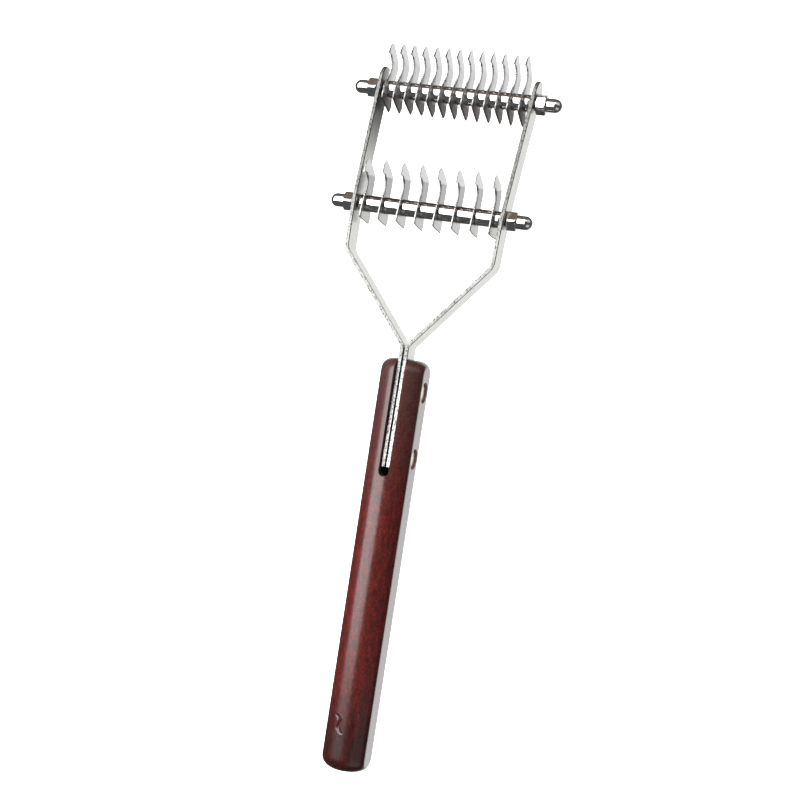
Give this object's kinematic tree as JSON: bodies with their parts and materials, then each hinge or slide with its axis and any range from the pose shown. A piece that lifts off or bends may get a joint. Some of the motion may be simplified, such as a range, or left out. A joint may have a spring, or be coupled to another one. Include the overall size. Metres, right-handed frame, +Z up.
{
  "type": "undercoat rake",
  "caption": "Undercoat rake: rows of hooked blades and spacers on rods, held by bent strap arms riveted into a slotted wooden handle.",
  "frame": {"origin": "on the ground under the middle of the whole rake's bounding box, with the rake lying on its back", "axes": "+X along the rods, +Y from the handle to the blade rows, +Z up, out of the hooked side of the blades"},
  "size_m": [0.0642, 0.2109, 0.0151],
  "materials": {
    "wood": "dark red-brown lacquer, satin gloss, with fine grain",
    "strap_steel": "plated strip steel, satin, with rolled streaks on the edges",
    "blade_steel": "stamped stainless steel, tumbled satin, with a ground nose and fine serrations",
    "rod_steel": "bright drawn steel rod",
    "chrome_plate": "bright chrome or nickel plating",
    "rivet_metal": "nickel-plated brass, worn to a pale yellow"
  },
  "bodies": {
    "frame": {"handle": "wood", "rivet_head_end": "rivet_metal", "rivet_grip_end": "rivet_metal", "arm_left": "strap_steel", "arm_right": "strap_steel"},
    "fine_row": {"fine_rod": "rod_steel", "fine_nut_left": "chrome_plate", "fine_nut_right": "chrome_plate", "fine_blade_01": "blade_steel", "fine_blade_02": "blade_steel", "fine_blade_03": "blade_steel", "fine_blade_04": "blade_steel", "fine_blade_05": "blade_steel", "fine_blade_06": "blade_steel", "fine_blade_07": "blade_steel", "fine_blade_08": "blade_steel", "fine_blade_09": "blade_steel", "fine_blade_10": "blade_steel", "fine_blade_11": "blade_steel", "fine_blade_12": "blade_steel", "fine_blade_13": "blade_steel", "fine_spacer_01": "chrome_plate", "fine_spacer_02": "chrome_plate", "fine_spacer_03": "chrome_plate", "fine_spacer_04": "chrome_plate", "fine_spacer_05": "chrome_plate", "fine_spacer_06": "chrome_plate", "fine_spacer_07": "chrome_plate", "fine_spacer_08": "chrome_plate", "fine_spacer_09": "chrome_plate", "fine_spacer_10": "chrome_plate", "fine_spacer_11": "chrome_plate", "fine_spacer_12": "chrome_plate", "fine_spacer_13": "chrome_plate", "fine_spacer_14": "chrome_plate"},
    "coarse_row": {"coarse_rod": "rod_steel", "coarse_nut_left": "chrome_plate", "coarse_nut_right": "chrome_plate", "coarse_blade_01": "blade_steel", "coarse_blade_02": "blade_steel", "coarse_blade_03": "blade_steel", "coarse_blade_04": "blade_steel", "coarse_blade_05": "blade_steel", "coarse_blade_06": "blade_steel", "coarse_blade_07": "blade_steel", "coarse_blade_08": "blade_steel", "coarse_spacer_01": "chrome_plate", "coarse_spacer_02": "chrome_plate", "coarse_spacer_03": "chrome_plate", "coarse_spacer_04": "chrome_plate", "coarse_spacer_05": "chrome_plate", "coarse_spacer_06": "chrome_plate", "coarse_spacer_07": "chrome_plate", "coarse_spacer_08": "chrome_plate", "coarse_spacer_09": "chrome_plate"}
  },
  "joints": [
    {"name": "fine_row_turn", "type": "hinge", "parent": "frame", "child": "fine_row", "pos_m": [-0.00158, 0.09215, 0.0075], "axis": [1, 0, 0], "continuous": true},
    {"name": "coarse_row_turn", "type": "hinge", "parent": "frame", "child": "coarse_row", "pos_m": [-0.00158, 0.05845, 0.0075], "axis": [1, 0, 0], "continuous": true}
  ]
}
